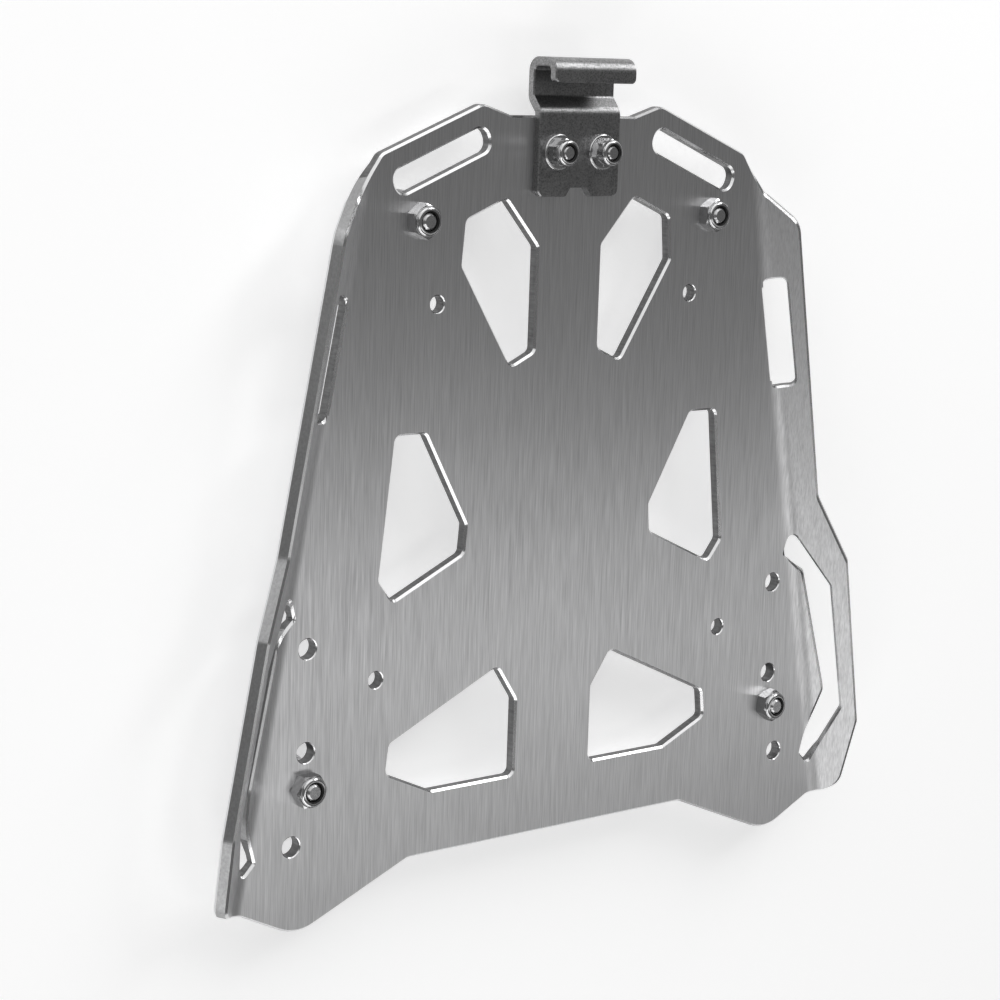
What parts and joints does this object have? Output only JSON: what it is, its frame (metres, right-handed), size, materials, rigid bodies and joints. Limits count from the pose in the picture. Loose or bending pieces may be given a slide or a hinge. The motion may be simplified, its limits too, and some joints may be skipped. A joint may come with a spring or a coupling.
{
  "type": "top case mounting plate",
  "caption": "Folded sheet-metal mounting plate for a luggage case, with raised side wings, windows, strap slots, locating studs and a hooked catch bracket.",
  "frame": {"origin": "midway between the four stud bolts, on the underside of the flat sheet, which faces the case", "axes": "+X to the right, +Y towards the catch bracket, +Z out of the sheet on the side of the nuts, which the wings rise towards"},
  "size_m": [0.2744, 0.2744, 0.028],
  "materials": {
    "sheet": "brushed lengthwise, with bright machined edges",
    "bracket": "fine satin",
    "nut": "plain, slightly dull",
    "bolt": "plain, bright at the turned end",
    "stud": "turned",
    "nylon": "dull black"
  },
  "bodies": {
    "root": {"base_plate": "sheet", "catch_bracket": "bracket", "locating_stud_upper_left": "stud", "plate_bolt_upper_left": "bolt", "plate_nut_upper_left": "nut", "plate_ring_upper_left": "nylon", "locating_stud_upper_right": "stud", "plate_bolt_upper_right": "bolt", "plate_nut_upper_right": "nut", "plate_ring_upper_right": "nylon", "locating_stud_lower_left": "stud", "plate_bolt_lower_left": "bolt", "plate_nut_lower_left": "nut", "plate_ring_lower_left": "nylon", "locating_stud_lower_right": "stud", "plate_bolt_lower_right": "bolt", "plate_nut_lower_right": "nut", "plate_ring_lower_right": "nylon", "bracket_washer_left": "bolt", "bracket_bolt_left": "bolt", "bracket_nut_left": "nut", "bracket_ring_left": "nylon", "bracket_washer_right": "bolt", "bracket_bolt_right": "bolt", "bracket_nut_right": "nut", "bracket_ring_right": "nylon"}
  },
  "joints": []
}
